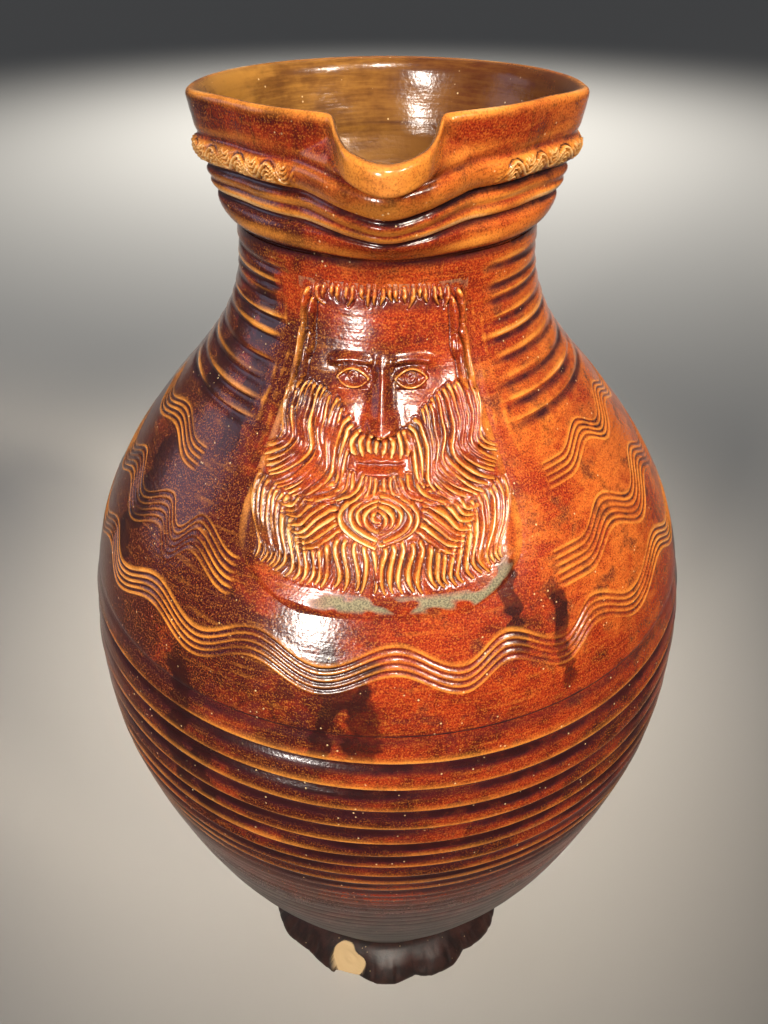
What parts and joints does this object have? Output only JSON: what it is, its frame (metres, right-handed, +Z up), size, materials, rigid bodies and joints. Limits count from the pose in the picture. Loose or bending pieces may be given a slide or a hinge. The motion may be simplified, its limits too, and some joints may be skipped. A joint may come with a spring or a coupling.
{
  "type": "bellarmine jug",
  "caption": "Large hollow stoneware jug with a spouted collar, a bearded mask on the neck, combed wave bands, throwing rings, a strap handle and a frilled foot.",
  "frame": {"origin": "middle of the foot's flat underside, on the axis the pot was thrown round", "axes": "+Z up along that axis, -Y towards the front with the spout and the mask, +Y towards the handle, +X to the right seen from the front"},
  "size_m": [0.2574, 0.2569, 0.4512],
  "materials": {
    "jug": "glossy mottled brown salt-glazed stoneware, matte and darker towards the foot"
  },
  "bodies": {
    "root": {"jug": "jug"}
  },
  "joints": []
}
